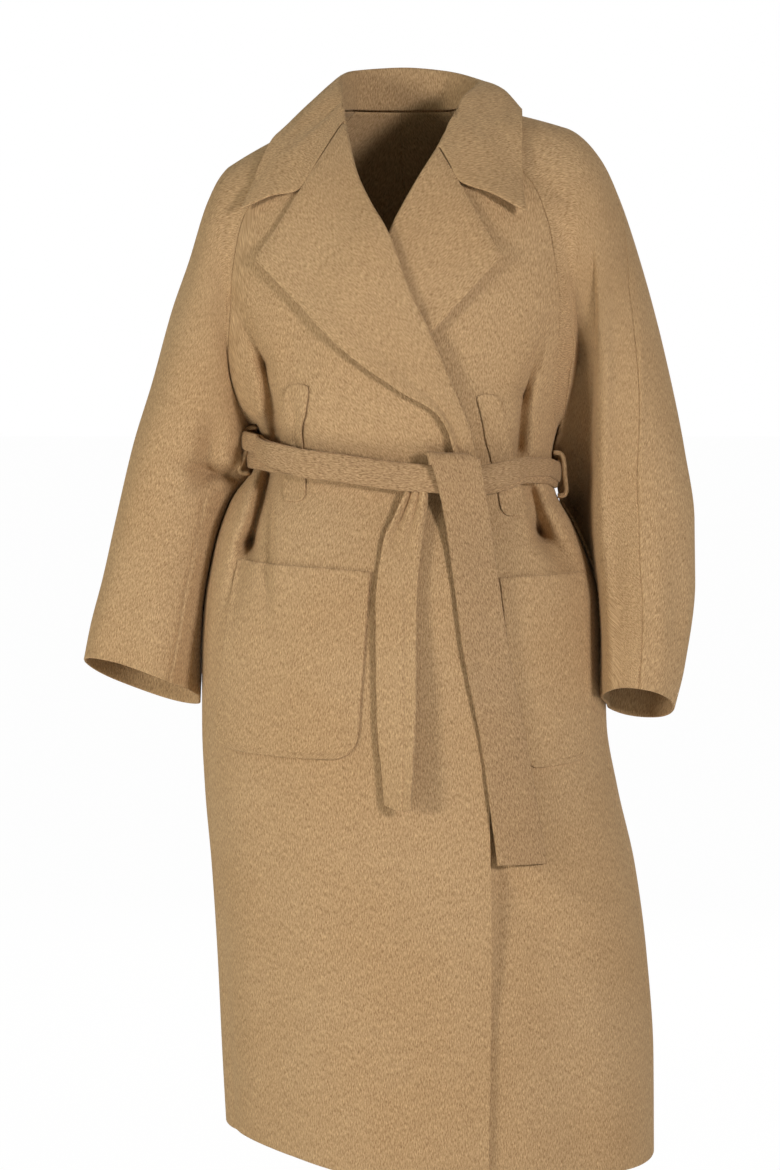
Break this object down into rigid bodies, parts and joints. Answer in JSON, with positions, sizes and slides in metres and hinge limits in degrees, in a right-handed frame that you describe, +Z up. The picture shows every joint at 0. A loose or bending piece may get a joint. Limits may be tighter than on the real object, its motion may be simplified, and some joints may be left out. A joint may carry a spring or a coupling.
{
  "type": "wool wrap coat",
  "caption": "Belted mid-calf wrap coat of brushed wool with notched collar, wide lapels, raglan sleeves, patch pockets and a tie belt, in the form it takes when worn",
  "frame": {"origin": "Middle of the neck opening at the height of the shoulder point, where the wearer's shoulders carry the coat", "axes": "+Z up, +X to the wearer's left, the front faces -Y"},
  "size_m": [0.6559, 0.3708, 1.179],
  "materials": {
    "wool": "brushed double-faced wool"
  },
  "bodies": {
    "root": {"back_right": "wool", "back_left": "wool", "front_right": "wool", "front_left": "wool", "sleeve_right_front": "wool", "sleeve_right_back": "wool", "sleeve_left_front": "wool", "sleeve_left_back": "wool", "collar": "wool", "pocket_right": "wool", "pocket_left": "wool", "waist_tab_right": "wool", "waist_tab_left": "wool", "belt_loop_right": "wool", "belt_loop_left": "wool", "belt_band": "wool", "belt_knot": "wool", "belt_end_long": "wool", "belt_end_short": "wool"}
  },
  "joints": []
}
